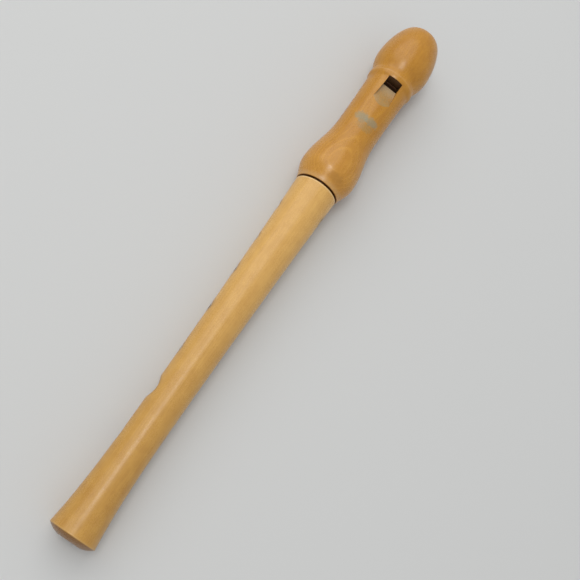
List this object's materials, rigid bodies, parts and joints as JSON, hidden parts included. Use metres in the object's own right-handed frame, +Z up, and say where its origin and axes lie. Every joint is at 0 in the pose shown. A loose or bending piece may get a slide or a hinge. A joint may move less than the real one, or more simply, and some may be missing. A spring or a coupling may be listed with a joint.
{
  "type": "soprano recorder",
  "caption": "Wooden soprano recorder: turned head with beak, window and cedar block, corked tenon, and a one-piece body with finger and thumb holes and a flared foot.",
  "frame": {"origin": "bottom centre of the bounding box, on the surface that the recorder lies on", "axes": "+X along the instrument from the foot to the beak's tip, +Z up out of the window with the recorder lying down, +Y to the side that the finger holes face. The bore leans 0.9 degrees from X, because the instrument touches the floor at the foot's rim and under the socket."},
  "size_m": [0.327, 0.0316, 0.0328],
  "materials": {
    "body_wood": "pale honey-coloured fruitwood or maple, oiled and lightly waxed, semi-gloss",
    "head_wood": "darker orange-honey wood, oiled and lightly waxed, semi-gloss",
    "cedar": "bare red-brown cedar, matt",
    "cork": "greased natural cork, matt"
  },
  "bodies": {
    "body": {"body_joint": "body_wood"},
    "cork": {"tenon_cork": "cork"},
    "head": {"head_joint": "head_wood", "fipple_block": "cedar"}
  },
  "joints": [
    {"name": "head_turn", "type": "hinge", "parent": "body", "child": "cork", "pos_m": [0.04754, 0, 0.01552], "axis": [0.9999, 0, 0.0162], "continuous": true},
    {"name": "head_pull", "type": "slide", "parent": "cork", "child": "head", "axis": [0.9999, 0, 0.0162], "range_m": [-0.0009, 0.03]}
  ]
}
